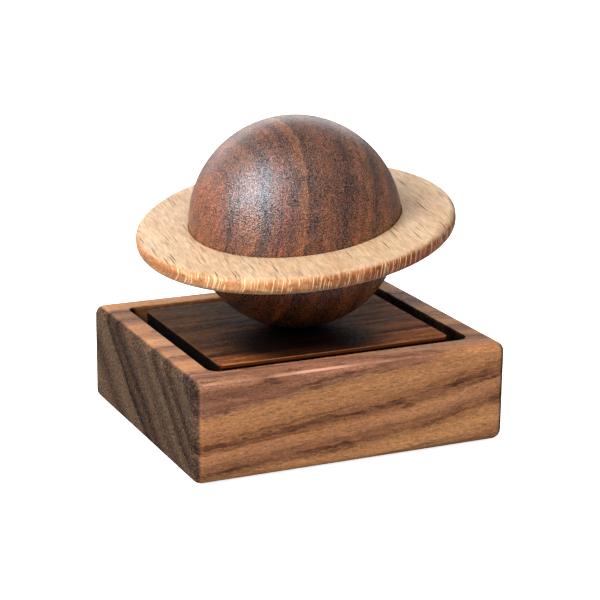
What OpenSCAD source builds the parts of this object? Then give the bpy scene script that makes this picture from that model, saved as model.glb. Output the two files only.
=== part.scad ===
// Ringed-planet desk orrery. A turned walnut ball with a tilted beech ring
// stands on a clockwork movement hidden in a walnut base block.
// Frame: millimetres, +Z up, +X to the right along the long front face,
// +Y to the back. Origin: centre of the underside of the felt sheet.

/* [Base block] */
// Width of the base block, left to right
base_w = 100; // [98:1:108]
// Depth of the base block, front to back
base_d = 86.5; // [86:0.5:94]
// Height of the rim above the table
base_h = 31.3; // [31.3:0.1:36]
// Radius of the rounded outer edges
edge_r = 3; // [1:0.5:4]
// Width of the rim round the slot
rim_w = 8.3; // [7.5:0.1:8.6]
// Thickness of the floor under the movement
floor_t = 4; // [3:0.5:4]
// Corner radius of the pocket
pocket_r = 3.5; // [2.5:0.5:5]
// Thickness of the felt sheet under the base
felt_t = 0.8; // [0.6:0.1:0.8]
// Inset of the felt sheet from the outside of the base
felt_inset = 4; // [3:0.5:6]

/* [Plate] */
// Width of the open sound slot between rim and plate
slot_w = 4.5; // [3:0.1:4.6]
// Thickness of the plate
plate_t = 6; // [5:0.5:6]
// Corner radius of the plate
plate_r = 2.2; // [1:0.1:3]
// Diameter of the dowel posts that carry the plate
post_d = 6; // [5:0.5:6]
// How far each post goes into the plate
post_in = 2.5; // [1.5:0.5:3.5]

/* [Planet] */
// Diameter of the ball
ball_d = 64.4; // [58:0.2:66]
// Running gap between the ball's flat foot and the plate
ball_gap = 0.3; // [0.2:0.1:1]
// Height of the cap cut off the ball to make its flat foot
foot_cut = 0.6; // [0.4:0.1:1]
// Outside diameter of the ring
ring_d = 96.6; // [80:0.2:100]
// Thickness of the ring
ring_t = 5.2; // [4:0.1:6]
// Radius of the ring's rounded rim
ring_edge = 2.2; // [1:0.1:2.5]
// Tilt of the ring from level, in degrees
ring_tilt = 9.4; // [0:0.1:20]
// Compass direction of the ring's low side, in degrees from +X
ring_low_dir = 211; // [0:1:359]
// Offset of the ring from the ball's equator along its own axis
ring_shift = -0.7; // [-1.5:0.1:1.5]

/* [Movement] */
// Thickness of the bedplate
bed_t = 2; // [1.6:0.1:2]
// Teeth on the great wheel
great_n = 60; // [60:4:60]
// Teeth on the drum pinion
pinion_n = 15; // [15:1:15]
// Module of the great wheel and drum pinion
crown_m = 0.455; // [0.44:0.005:0.455]
// Teeth on the drum gear
drum_gear_n = 36; // [36:2:36]
// Teeth on the idler pinion
idler_pin_n = 12; // [12:1:12]
// Module of the drum gear and idler pinion
train_m = 0.35; // [0.34:0.01:0.35]
// Teeth on the idler wheel that drives the worm
worm_wheel_n = 20; // [20:2:20]
// Number of notes on the comb
notes = 18; // [12:1:18]
// Pins on each note's track
pins_per_note = 4; // [2:1:5]

/* [Hidden] */
$fn = 64;
eps = 0.01;                                   // overlap of joined and cut shapes
run_gap = 0.05;                               // radial clearance of turning parts
seat_gap = 0.02;                              // radial clearance of seated parts

// colours used by more than one piece
brass = "#c9a24a";
dull_brass = "#b59a4e";
screw_grey = "#8d8f92";
shaft_grey = "#9a9da1";
pale_grey = "#b9babc";
ivory = "#e6e0d2";

// base and plate
pocket_w = base_w - 2 * rim_w;                // left to right
pocket_d = base_d - 2 * rim_w;                // front to back
plate_w = pocket_w - 2 * slot_w;
plate_d = pocket_d - 2 * slot_w;
floor_z = felt_t + floor_t;                   // top of the floor
plate_z = base_h - plate_t;                   // underside of the plate
bed_z = plate_z - bed_t;                      // underside of the bedplate
axis_z = plate_z - 10.3;                      // axes of the drum and the idler
post_x = 32.6;
post_y = plate_d / 2 - 4.4;
posts = [for (x = [-1, 1], y = [-1, 1]) [x * post_x, y * post_y]];
post_screw_r = 1.15;

// ball
ball_r = ball_d / 2;
foot_z = base_h + ball_gap;                   // flat foot of the ball
ball_z = foot_z - foot_cut + ball_r;          // centre of the ball
insert_r = 3.5;
insert_h = 12;

// winding shaft and its bush
shaft_r = 1.5;
shaft_top_r = 2;
bush_r = 3.5;
flange_r = 5;
flange_t = 1;

// great wheel and drum pinion
pinion_pitch_r = pinion_n * crown_m / 2;
wheel_pitch_r = great_n * crown_m / 2;
wheel_z = axis_z - pinion_pitch_r - 0.5;      // top of the wheel's web
wheel_t = 1.2;
wheel_r = wheel_pitch_r + 0.85;
groove_r = 1.15;                              // bottom of the shaft's clip groove
groove_z = wheel_z - 3.2;

// ratchet and click
ratchet_t = 1;
ratchet_z = wheel_z - wheel_t - 0.1 - ratchet_t;
click_dir = 120;                              // direction of the click's pivot
click_dist = 8.2;                             // pivot to winding shaft
stud_r = 0.6;

// spring housing
housing_r = 11.8;
housing_wall = 1;
housing_z = axis_z - 2;
thirds = [60, 180, 300];                      // housing ears, openings in the wheel
ear_dist = 13.1;
ear_t = 1.2;

// drum
drum_x0 = 16.5;
drum_x1 = 31;
drum_len = drum_x1 - drum_x0;
drum_r = 6;
drum_wall = 0.5;
pin_tip = 6.7;
drum_arbor_r = 1;
drum_gear_x = drum_x1 + 0.05;
bearing_x = 14.9;                             // bearing at the housing end
bearing_t = 1.2;
bracket_x = 33;                               // bearing at the right-hand end
bracket_t = 1.1;

// comb
track_pitch = 14 / notes;
comb_x = drum_x0 + 0.1;                       // first cut between teeth
comb_t = 1.2;
comb_cut = 0.2;

// idler and governor
drum_gear_r = drum_gear_n * train_m / 2;
idler_pin_r = idler_pin_n * train_m / 2;
idler_y = -(drum_gear_r + idler_pin_r);
idler_arbor_r = 0.5;
worm_wheel_r = 5.2;                           // pitch radii
worm_r = 1.2;
worm_starts = 2;
worm_lead = worm_starts * 2 * PI * worm_wheel_r / worm_wheel_n;
gov_x = 34;
gov_y = idler_y - worm_wheel_r - worm_r;
gov_arbor_r = 0.4;
frame_x = 29.4;                               // left and front of the governor frame
frame_y = -20.2;
frame_t = 1.2;

// gear teeth: height above pitch circle, depth below it, width at it
pinion_tooth = [0.3, 0.5, 0.42];
train_tooth = [0.28, 0.42, 0.36];
worm_wheel_tooth = [0.35, 0.45, 0.4];

// bedplate and the screws round it, as [x, y]
bed_min = [-15.5, -21];
bed_max = [37.2, 20.5];
bed_size = bed_max - bed_min;
movement_at = [[-12.8, -18.2], [-12.8, 17.7], [34.6, 17.7], [26.2, -18.2]];
comb_at = [[18.4, 17.3], [23.9, 17.3], [29.4, 17.3]];
governor_at = [[31, -17], [31, -12.6]];
bracket_at = [[35.6, 0]];
movement_screw_r = 0.95;
mid_head_h = 1.1;                             // heads of the movement and comb screws
small_head_h = 0.8;                           // heads of the smaller bedplate screws

// ---------------------------------------------------------------- helpers
module at_each(places, z) {
    for (p = places) translate([p[0], p[1], z]) children();
}

// children three times round the winding shaft
module at_thirds(radius, z) {
    for (a = thirds) rotate(a) translate([radius, 0, z]) children();
}

// children with their Z laid along +X, at axis height
module on_x(x, y = 0) {
    translate([x, y, axis_z]) rotate([0, 90, 0]) children();
}

module at_click(z) {
    rotate(click_dir) translate([click_dist, 0, z]) children();
}

// hole cutter that starts 1 below the piece
module bore(r, h = 3) {
    translate([0, 0, -1]) cylinder(r = r, h = h);
}

module round_rect(w, d, r) {
    square([w - 2 * r, d], center = true);
    square([w, d - 2 * r], center = true);
    for (x = [-1, 1], y = [-1, 1])
        translate([x * (w / 2 - r), y * (d / 2 - r)]) circle(r);
}

// block with every edge rounded, standing on z = 0
module round_block(w, d, h, r) {
    translate([0, 0, r]) linear_extrude(h - 2 * r) round_rect(w, d, r);
    translate([-w / 2 + r, -d / 2 + r, 0]) cube([w - 2 * r, d - 2 * r, h]);
    for (z = [r, h - r]) {
        for (y = [-1, 1])
            translate([-w / 2 + r, y * (d / 2 - r), z])
                rotate([0, 90, 0]) cylinder(r = r, h = w - 2 * r);
        for (x = [-1, 1])
            translate([x * (w / 2 - r), -d / 2 + r, z])
                rotate([-90, 0, 0]) cylinder(r = r, h = d - 2 * r);
        for (x = [-1, 1], y = [-1, 1])
            translate([x * (w / 2 - r), y * (d / 2 - r), z]) sphere(r);
    }
}

// straight-toothed gear, first tooth on +X
module gear_outline(teeth, pitch_r, tooth) {
    root_r = pitch_r - tooth[1];
    tip_r = pitch_r + tooth[0];
    w = tooth[2];
    circle(root_r);
    for (i = [0:teeth - 1]) rotate(i * 360 / teeth)
        polygon([[root_r - 0.15, -w * 0.62], [pitch_r, -w / 2], [tip_r, -w * 0.3],
            [tip_r, w * 0.3], [pitch_r, w / 2], [root_r - 0.15, w * 0.62]]);
}

// child outline as a bored gear on an arbor along X
module gear_on_x(x, y, t, bore_r, bore_sides) {
    on_x(x, y) difference() {
        linear_extrude(t) children();
        bore(bore_r, 4, $fn = bore_sides);
    }
}

// round-ended bearing lug hanging from the bedplate
module lug(x, y, r, t, overlap = 0) {
    translate([x, y - r, axis_z]) cube([t, 2 * r, bed_z - axis_z + overlap]);
    on_x(x, y) cylinder(r = r, h = t);
}

// slotted cheese-head screw, head down at z = 0, shank up
module screw(head_r, head_h, shank_r, shank_l) {
    cut_w = head_r * 0.28;
    difference() {
        cylinder(r = head_r, h = head_h, $fn = 32);
        translate([-head_r - 1, -cut_w / 2, -eps])
            cube([2 * head_r + 2, cut_w, head_h * 0.45]);
    }
    translate([0, 0, head_h - eps]) cylinder(r = shank_r, h = shank_l + eps, $fn = 32);
}

// ---------------------------------------------------------------- base
module base_block() {
    color("#6e4a33") difference() {
        translate([0, 0, felt_t]) round_block(base_w, base_d, base_h - felt_t, edge_r);
        translate([0, 0, floor_z]) linear_extrude(base_h)
            round_rect(pocket_w, pocket_d, pocket_r);
        // post screws, with room for their heads
        at_each(posts, 0) {
            cylinder(r = 1.3, h = floor_z + 1, $fn = 32);
            cylinder(r = 3, h = felt_t + 2, $fn = 32);
        }
    }
}

module felt_sheet() {
    color("#3b3a38") linear_extrude(felt_t)
        round_rect(base_w - 2 * felt_inset, base_d - 2 * felt_inset, 3);
}

module top_plate() {
    color("#5b3f2e") difference() {
        translate([0, 0, plate_z]) linear_extrude(plate_t)
            round_rect(plate_w, plate_d, plate_r);
        translate([0, 0, plate_z]) bore(bush_r, plate_t + 2);
        translate([0, 0, base_h - flange_t]) cylinder(r = flange_r, h = 2);
        at_each(posts, plate_z - eps) cylinder(d = post_d, h = post_in + eps, $fn = 48);
        at_each(movement_at, plate_z - eps) cylinder(r = movement_screw_r, h = 4.2, $fn = 24);
    }
}

module plate_posts() {
    color("#c99a63") at_each(posts, floor_z) difference() {
        cylinder(d = post_d, h = plate_z - floor_z + post_in, $fn = 48);
        translate([0, 0, -eps]) cylinder(r = post_screw_r, h = 12.5, $fn = 32);
    }
}

module post_screws() {
    color(screw_grey) at_each(posts, felt_t + 0.2)
        screw(head_r = 2.7, head_h = 1.8, shank_r = post_screw_r, shank_l = 13);
}

module shaft_bush() {
    color(brass) difference() {
        union() {
            translate([0, 0, plate_z + 0.1]) cylinder(r = bush_r, h = plate_t - 0.1);
            translate([0, 0, base_h - flange_t]) cylinder(r = flange_r, h = flange_t);
        }
        translate([0, 0, plate_z]) bore(shaft_top_r + run_gap, plate_t + 2);
    }
}

// ---------------------------------------------------------------- movement, fixed
module bedplate() {
    color("#a9abad") difference() {
        union() {
            translate([0, 0, bed_z]) linear_extrude(bed_t)
                translate((bed_min + bed_max) / 2) round_rect(bed_size[0], bed_size[1], 3);
            // comb pad
            pad_z = axis_z + comb_t / 2;
            translate([15.8, 14.4, pad_z]) cube([16.2, 5.8, bed_z - pad_z + eps]);
            lug(bearing_x, 0, 2.6, bearing_t, overlap = eps, $fn = 48);
        }
        translate([0, 0, bed_z]) bore(shaft_r + run_gap, bed_t + 2, $fn = 48);
        on_x(14) cylinder(r = drum_arbor_r + run_gap, h = 3, $fn = 48);
        at_each(movement_at, bed_z) bore(1.1, bed_t + 2, $fn = 32);
        // blind and tapped-size screw holes
        at_thirds(ear_dist, bed_z - eps) cylinder(r = 0.6, h = bed_t - 0.4, $fn = 24);
        at_each(comb_at, axis_z) cylinder(r = 0.7, h = 6, $fn = 24);
        at_each(concat(governor_at, bracket_at), bed_z - eps)
            cylinder(r = 0.5, h = bed_t - 0.4, $fn = 24);
    }
}

module movement_screws() {
    color(screw_grey) at_each(movement_at, bed_z - mid_head_h)
        screw(head_r = 1.9, head_h = mid_head_h, shank_r = movement_screw_r,
            shank_l = bed_t + 4);
}

// round cup, open to the bedplate, with three fixing ears
module spring_housing() {
    housing_h = bed_z - housing_z;
    ear_w = 3.6;
    ear_start = 10;                           // ears begin inside the wall
    color(pale_grey) difference() {
        union() {
            translate([0, 0, housing_z]) cylinder(r = housing_r, h = housing_h, $fn = 96);
            at_thirds(ear_dist, bed_z - ear_t) {
                cylinder(r = ear_w / 2, h = ear_t, $fn = 32);
                translate([ear_start - ear_dist, -ear_w / 2, 0])
                    cube([ear_dist - ear_start, ear_w, ear_t]);
            }
        }
        translate([0, 0, housing_z + housing_wall])
            cylinder(r = housing_r - housing_wall, h = housing_h, $fn = 96);
        translate([0, 0, housing_z]) bore(shaft_r + run_gap, $fn = 48);
        at_thirds(ear_dist, bed_z - 2) cylinder(r = 0.65, h = 3, $fn = 24);
    }
}

module housing_screws() {
    color(screw_grey) at_thirds(ear_dist, bed_z - ear_t - small_head_h)
        screw(head_r = 1.1, head_h = small_head_h, shank_r = 0.6, shank_l = 2.6);
}

// coiled strip, from just outside the hub to just inside the housing wall
module mainspring() {
    strip_t = 0.25;
    turns = 7;
    turn_steps = 36;
    steps = turn_steps * turns;
    inner_r = 2.9;
    outer_r = 10.5;
    function coil_point(i, offset) =
        (inner_r + (outer_r - inner_r) * i / steps + offset)
        * [cos(i * 360 / turn_steps), sin(i * 360 / turn_steps)];
    color("#5f6a78") translate([0, 0, axis_z - 0.6]) linear_extrude(bed_z - axis_z - 0.1)
        polygon(concat(
            [for (i = [0:steps]) coil_point(i, strip_t / 2)],
            [for (i = [steps:-1:0]) coil_point(i, -strip_t / 2)]));
}

// steel comb, longest teeth at the housing end
module comb() {
    tip_y = pin_tip + run_gap;
    cut_y = 6;                                // cuts start clear of the tips
    root_y = 12.5;                            // root of the longest tooth
    root_step = 2.4;                          // how far the roots come forward
    color("#d5d8dc") difference() {
        union() {
            translate([15.9, 13, axis_z - comb_t / 2]) cube([16, 7, comb_t]);
            translate([comb_x, tip_y, axis_z - 0.2])
                cube([notes * track_pitch + comb_cut, 6.5, 0.4]);
        }
        for (i = [0:notes])
            translate([comb_x + i * track_pitch, cut_y, axis_z - 1])
                cube([comb_cut, root_y - cut_y - i * root_step / notes, 2]);
        at_each(comb_at, axis_z - 2) cylinder(r = 0.8, h = 4, $fn = 32);
    }
}

module comb_screws() {
    color(screw_grey) at_each(comb_at, axis_z - comb_t / 2 - mid_head_h)
        screw(head_r = 1.5, head_h = mid_head_h, shank_r = 0.7, shank_l = 5);
}

module drum_bracket() {
    lug_r = 2.2;
    color(dull_brass) difference() {
        union() {
            lug(bracket_x, 0, lug_r, bracket_t, $fn = 48);
            translate([bracket_x, -lug_r, bed_z - bracket_t]) cube([4.2, 2 * lug_r, bracket_t]);
        }
        on_x(bracket_x - 1) cylinder(r = drum_arbor_r + run_gap, h = 3, $fn = 48);
        at_each(bracket_at, bed_z - 2) cylinder(r = 0.6, h = 3, $fn = 24);
    }
}

module bracket_screw() {
    color(screw_grey) at_each(bracket_at, bed_z - bracket_t - small_head_h)
        screw(head_r = 1.05, head_h = small_head_h, shank_r = 0.5, shank_l = 2.5);
}

// bearing bracket for the idler and the governor
module governor_frame() {
    low_arm_z = axis_z - 9.3;
    high_arm_z = axis_z + 5;
    arm_t = 1.2;
    arm_r = 1.4;
    arm_y = -19;
    column_w = 3.6;
    color(pale_grey) difference() {
        union() {
            translate([frame_x, frame_y, bed_z - frame_t]) cube([7.4, 14.2, frame_t]);
            // idler bearings
            lug(frame_x, idler_y, 1.2, 1, $fn = 32);
            lug(35.5, idler_y, 1.8, 1.3, $fn = 32);
            // governor column and bearing arms
            translate([gov_x - column_w / 2, frame_y, low_arm_z])
                cube([column_w, 1.3, bed_z - low_arm_z]);
            for (z = [high_arm_z, low_arm_z]) {
                translate([gov_x - arm_r, arm_y, z]) cube([2 * arm_r, gov_y - arm_y, arm_t]);
                translate([gov_x, gov_y, z]) cylinder(r = arm_r, h = arm_t, $fn = 32);
            }
        }
        on_x(28, idler_y) cylinder(r = idler_arbor_r + run_gap, h = 10, $fn = 24);
        translate([gov_x, gov_y, axis_z - 10])
            cylinder(r = gov_arbor_r + run_gap, h = 17, $fn = 24);
        at_each(governor_at, bed_z - 2) cylinder(r = 0.6, h = 3, $fn = 24);
    }
}

module governor_screws() {
    color(screw_grey) at_each(governor_at, bed_z - frame_t - small_head_h)
        screw(head_r = 1, head_h = small_head_h, shank_r = 0.5, shank_l = 2.6);
}

// ---------------------------------------------------------------- planet and winding train
module planet_ball() {
    color("#57392a") translate([0, 0, ball_z]) difference() {
        sphere(ball_r, $fn = 128);
        // flat foot
        translate([-20, -20, -ball_r - 10]) cube([40, 40, 10 + foot_cut]);
        // socket for the insert, with a narrower hole above it
        translate([0, 0, -ball_r]) {
            bore(insert_r, 1 + foot_cut + insert_h);
            bore(2.3, 1 + foot_cut + insert_h + 2, $fn = 48);
        }
    }
}

module planet_ring() {
    inner_r = ball_r + seat_gap;
    outer_r = ring_d / 2;
    half_t = ring_t / 2;
    color("#d9b384") translate([0, 0, ball_z])
        rotate([0, 0, ring_low_dir]) rotate([0, ring_tilt, 0]) translate([0, 0, ring_shift])
        rotate_extrude($fn = 128) {
            translate([inner_r, -half_t]) square([outer_r - ring_edge - inner_r, ring_t]);
            translate([inner_r, -half_t + ring_edge])
                square([outer_r - inner_r, ring_t - 2 * ring_edge]);
            for (z = [-1, 1])
                translate([outer_r - ring_edge, z * (half_t - ring_edge)])
                    circle(ring_edge, $fn = 48);
        }
}

module ball_insert() {
    color(brass) translate([0, 0, foot_z]) difference() {
        cylinder(r = insert_r, h = insert_h);
        bore(shaft_top_r + seat_gap, insert_h + 2, $fn = 48);
    }
}

module winding_shaft() {
    color(shaft_grey) difference() {
        union() {
            translate([0, 0, wheel_z - 3.7])
                cylinder(r = shaft_r, h = plate_z - wheel_z + 3.8, $fn = 48);
            translate([0, 0, plate_z + 0.05])
                cylinder(r = shaft_top_r, h = foot_z + insert_h - 1 - plate_z, $fn = 48);
        }
        // groove for the clip
        translate([0, 0, groove_z]) difference() {
            cylinder(r = shaft_r + 1, h = 0.5, $fn = 48);
            bore(groove_r, $fn = 48);
        }
    }
}

module spring_hub() {
    color("#8a6f3a") translate([0, 0, axis_z - 0.8]) difference() {
        cylinder(r = 2.3, h = bed_z - axis_z + 0.6, $fn = 48);
        bore(shaft_r, bed_z - axis_z + 3, $fn = 48);
    }
}

// crown wheel, teeth up, a gap between teeth on +X
module great_wheel() {
    tooth_w = 0.42;
    cut_z = wheel_z - 3;
    color(brass) difference() {
        union() {
            translate([0, 0, wheel_z - wheel_t]) cylinder(r = wheel_r, h = wheel_t, $fn = 96);
            for (i = [0:great_n - 1]) rotate((i + 0.5) * 360 / great_n)
                translate([wheel_pitch_r - 0.75, -tooth_w / 2, wheel_z - eps])
                    cube([1.55, tooth_w, 0.8]);
        }
        translate([0, 0, cut_z]) cylinder(r = shaft_r, h = 5, $fn = 48);
        at_thirds(8.6, cut_z) cylinder(r = 2.2, h = 5, $fn = 48);
        at_click(cut_z) cylinder(r = stud_r, h = 5, $fn = 24);
    }
}

// saw-toothed ratchet under the great wheel
module ratchet_wheel() {
    teeth = 16;
    root_r = 4;
    tip_r = 4.9;
    color(pale_grey) translate([0, 0, ratchet_z]) difference() {
        linear_extrude(ratchet_t) polygon([for (i = [0:teeth - 1], r = [root_r, tip_r])
            [r * cos(i * 360 / teeth), r * sin(i * 360 / teeth)]]);
        bore(shaft_r, $fn = 48);
    }
}

// headed stud the click turns on
module click_stud() {
    color(screw_grey) at_click(ratchet_z) {
        translate([0, 0, -0.5]) cylinder(r = 1, h = 0.4, $fn = 32);
        translate([0, 0, -0.2]) cylinder(r = stud_r, h = 2.5, $fn = 32);
    }
}

// pawl: pivots on the stud, its nose behind a ratchet tooth
module click() {
    color(shaft_grey) at_click(ratchet_z) difference() {
        linear_extrude(ratchet_t) union() {
            circle(1.35, $fn = 32);
            polygon([[-4.6, -2.2], [-4.46, -2.92], [0.2, -1.33], [-0.65, 1.18], [-3.84, -2.64]]);
        }
        bore(stud_r + run_gap, $fn = 32);
    }
}

// leaf spring fixed to the wheel, behind the click
module click_spring() {
    color("#6d737b") rotate(click_dir) translate([0, 0, ratchet_z + 0.1]) {
        translate([10.7, -4.9, 0]) cube([1.4, 1.4, 1]);
        linear_extrude(0.8)
            polygon([[10.9, -4.35], [6.2, -3.1], [6.2, -3.3], [10.9, -4.6]]);
    }
}

// washer with a slot open towards +X
module retaining_clip() {
    color("#5f6369") translate([0, 0, groove_z + 0.05]) difference() {
        cylinder(r = 2.8, h = 0.4, $fn = 48);
        bore(groove_r, $fn = 48);
        translate([0, -0.9, -1]) cube([4, 1.8, 3]);
    }
}

// ---------------------------------------------------------------- drum
module pin_drum() {
    comb_dir = 90;                            // the comb lies on +Y
    clear_angle = 14;                         // no pin is closer to the comb at rest
    pin_span = 332;                           // pin angles wrap within this range
    track_x = 0.25;                           // drum end to edge of the first track
    pin_root = 0.3;                           // depth of the pins in the drum
    color("#d0a94f") on_x(drum_x0) difference() {
        union() {
            cylinder(r = drum_r, h = drum_len, $fn = 96);
            // tune pins, scattered by a fixed rule
            for (i = [0:notes - 1], j = [0:pins_per_note - 1])
                rotate(comb_dir + clear_angle + ((i * 137 + j * (61 + 7 * (i % 5))) % pin_span))
                    translate([0, 0, track_x + (i + 0.5) * track_pitch])
                    rotate([0, 90, 0]) translate([0, 0, drum_r - pin_root])
                    cylinder(r = 0.15, h = pin_tip - drum_r + 0.28, $fn = 16);
        }
        bore(drum_r - drum_wall, drum_len + 2, $fn = 96);
    }
}

module drum_ends() {
    end_t = 0.8;
    color(dull_brass) for (x = [drum_x0, drum_x1 - end_t]) on_x(x) difference() {
        cylinder(r = drum_r - drum_wall, h = end_t, $fn = 96);
        bore(drum_arbor_r, $fn = 48);
    }
}

module drum_arbor() {
    color(shaft_grey) on_x(12.4) cylinder(r = drum_arbor_r, h = 22.2, $fn = 48);
}

// one tooth points straight down into the great wheel
module drum_pinion() {
    color(brass) gear_on_x(wheel_pitch_r - 0.8, 0, 1.75, drum_arbor_r, 48)
        gear_outline(pinion_n, pinion_pitch_r, pinion_tooth);
}

// a tooth points along -Y towards the idler
module drum_gear() {
    color(brass) gear_on_x(drum_gear_x, 0, 1.2, drum_arbor_r, 48)
        rotate(-90) gear_outline(drum_gear_n, drum_gear_r, train_tooth);
}

// ---------------------------------------------------------------- idler
module idler_arbor() {
    color(shaft_grey) on_x(29.5, idler_y) cylinder(r = idler_arbor_r, h = 7.2, $fn = 32);
}

// a gap faces +Y towards the drum gear
module idler_pinion() {
    color(pale_grey) gear_on_x(drum_gear_x, idler_y, 1.3, idler_arbor_r, 32)
        rotate(90 + 180 / idler_pin_n) gear_outline(idler_pin_n, idler_pin_r, train_tooth);
}

// a tooth points along -Y into the worm
module idler_wheel() {
    wheel_w = 0.8;
    color(ivory) gear_on_x(gov_x - wheel_w / 2, idler_y, wheel_w, idler_arbor_r, 32)
        rotate(-90) gear_outline(worm_wheel_n, worm_wheel_r, worm_wheel_tooth);
}

// ---------------------------------------------------------------- governor
module governor_arbor() {
    color(shaft_grey) translate([gov_x, gov_y, axis_z - 9.2])
        cylinder(r = gov_arbor_r, h = 15.5, $fn = 32);
}

// two-start worm; the wheel's tooth sits between two threads at rest
module governor_worm() {
    worm_h = 6.6;
    thread_w = 0.56;
    color(ivory) translate([gov_x, gov_y, axis_z - worm_h / 2]) difference() {
        linear_extrude(worm_h, twist = -360 * worm_h / worm_lead, slices = 32, $fn = 14)
            rotate(180 - 360 * (worm_h / 2) / worm_lead) {
                circle(0.75, $fn = 16);
                for (a = [0, 180]) rotate(a)
                    translate([0.6, -thread_w / 2]) square([0.95, thread_w]);
            }
        bore(gov_arbor_r + seat_gap, worm_h + 2, $fn = 24);
    }
}

// two flat blades on a round hub
module governor_fan() {
    fan_h = 2.2;
    span = 6.8;
    blade_t = 0.4;
    color(ivory) translate([gov_x, gov_y, axis_z - 7.7]) difference() {
        union() {
            cylinder(r = 1, h = fan_h, $fn = 32);
            translate([-span / 2, -blade_t / 2, 0]) cube([span, blade_t, fan_h]);
        }
        bore(gov_arbor_r + seat_gap, 5, $fn = 32);
    }
}

base_block();
felt_sheet();
top_plate();
plate_posts();
post_screws();
shaft_bush();
bedplate();
movement_screws();
spring_housing();
housing_screws();
mainspring();
comb();
comb_screws();
drum_bracket();
bracket_screw();
governor_frame();
governor_screws();
planet_ball();
planet_ring();
ball_insert();
winding_shaft();
spring_hub();
great_wheel();
ratchet_wheel();
click_stud();
click_spring();
retaining_clip();
click();
pin_drum();
drum_ends();
drum_arbor();
drum_pinion();
drum_gear();
idler_arbor();
idler_pinion();
idler_wheel();
governor_arbor();
governor_worm();
governor_fan();
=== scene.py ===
"""A walnut ball with a tilted beech ring, on a walnut base block with a musical movement.

The block stands on a felt sheet and has a pocket open at the top for the movement and the
top plate. Z is up with the felt's underside at 0, the ball is centred on the Z axis, and the
camera looks from the front left (-Y, -X). Sizes are in millimetres unless a comment says
otherwise.
"""
import math
import random
from types import SimpleNamespace

import bpy
import bmesh
from mathutils import Matrix, Vector, noise


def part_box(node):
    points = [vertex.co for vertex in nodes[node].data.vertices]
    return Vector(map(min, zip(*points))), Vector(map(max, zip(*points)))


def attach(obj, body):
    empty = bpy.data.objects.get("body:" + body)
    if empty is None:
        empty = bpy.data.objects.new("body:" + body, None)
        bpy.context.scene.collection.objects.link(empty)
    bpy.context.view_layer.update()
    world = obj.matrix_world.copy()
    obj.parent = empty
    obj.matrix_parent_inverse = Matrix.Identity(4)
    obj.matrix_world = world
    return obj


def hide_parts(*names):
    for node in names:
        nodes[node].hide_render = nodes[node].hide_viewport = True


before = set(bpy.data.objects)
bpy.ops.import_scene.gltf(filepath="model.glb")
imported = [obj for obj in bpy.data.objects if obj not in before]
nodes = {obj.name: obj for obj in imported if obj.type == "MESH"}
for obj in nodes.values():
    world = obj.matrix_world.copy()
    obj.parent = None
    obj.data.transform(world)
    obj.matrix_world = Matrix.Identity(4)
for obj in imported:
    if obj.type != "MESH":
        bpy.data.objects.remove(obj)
scene = bpy.context.scene
MM = 0.001


def box_mm(name):
    return [Vector(corner) * 1000 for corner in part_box(name)]


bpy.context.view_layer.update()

# ------------------------------------------------------------------ sizes
block_low, block_high = box_mm("base_block")
felt_low, felt_high = box_mm("felt_sheet")
plate_low, plate_high = box_mm("top_plate")
ball_low, ball_high = box_mm("planet_ball")

BLOCK_SIZE = (block_high.x - block_low.x, block_high.y - block_low.y)
BLOCK_BOTTOM, BLOCK_TOP = block_low.z, block_high.z
BLOCK_CORNER = 3.0               # corner radius seen from above
BLOCK_EDGE = 2.95                # rounding of the top and bottom edges
POCKET_WALL = 8.3
POCKET_SIZE = tuple(side - 2 * POCKET_WALL for side in BLOCK_SIZE)
POCKET_CORNER = 3.5
POCKET_FLOOR = 4.8
POCKET_ARRIS = 0.32              # rounding of the pocket's mouth
SANDING = 0.05                   # most the block's outside wanders inwards

PLATE_SIZE = (plate_high.x - plate_low.x, plate_high.y - plate_low.y)
PLATE_BOTTOM, PLATE_TOP = plate_low.z, plate_high.z
PLATE_CORNER = 2.2
PLATE_ARRIS = 0.28
POST_X, POST_Y = 32.6, PLATE_SIZE[1] / 2 - 4.4
POSTS = [(sx * POST_X, sy * POST_Y) for sx in (-1, 1) for sy in (-1, 1)]
POST_SOCKET_R = 3.0
# x, y of the four narrow holes in the plate's underside
NARROW_HOLES = ((-12.8, -18.2), (-12.8, 17.7), (34.6, 17.7), (26.2, -18.2))

FELT_SIZE = (felt_high.x - felt_low.x, felt_high.y - felt_low.y)
FELT_TOP = felt_high.z

BALL_R = (ball_high.x - ball_low.x) / 2
BALL_CENTRE = Vector((0, 0, ball_high.z - BALL_R))
BALL_FOOT = ball_low.z           # flat cut under the ball
BORE_R, BORE_TIP_R = 3.5, 2.3
BORE_DEPTH, BORE_TOP = 12.0, 14.0

RING_R = 48.3
RING_INNER_R = BALL_R + 0.02
RING_THICK = 5.2
RING_EDGE = 2.2                  # rounding of the outer edge
RING_MATRIX = (Matrix.Translation(BALL_CENTRE)
               @ Matrix.Rotation(math.radians(211.0), 4, "Z")     # heading of the tilt
               @ Matrix.Rotation(math.radians(9.4), 4, "Y")       # tilt
               @ Matrix.Translation((0, 0, -0.7)))                # offset along its own axis


# ------------------------------------------------------------------ shader nodes
def srgb(*rgb):
    """Linear colour from 0-255 sRGB values."""
    def linear(value):
        value /= 255.0
        return value / 12.92 if value <= 0.04045 else ((value + 0.055) / 1.055) ** 2.4
    return tuple(linear(value) for value in rgb)


class Nodes:
    """Short calls for adding nodes. A value may be a number, a tuple or an output socket."""

    def __init__(self, tree):
        self.tree = tree

    def feed(self, socket, value):
        if isinstance(value, bpy.types.NodeSocket):
            self.tree.links.new(value, socket)
            return
        if socket.type == "RGBA":
            value = (*value, 1.0)
        socket.default_value = value

    def node(self, kind, inputs=None, **settings):
        made = self.tree.nodes.new("ShaderNode" + kind)
        for key, value in settings.items():
            setattr(made, key, value)
        for key, value in (inputs or {}).items():
            self.feed(made.inputs[key], value)
        return made


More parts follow.
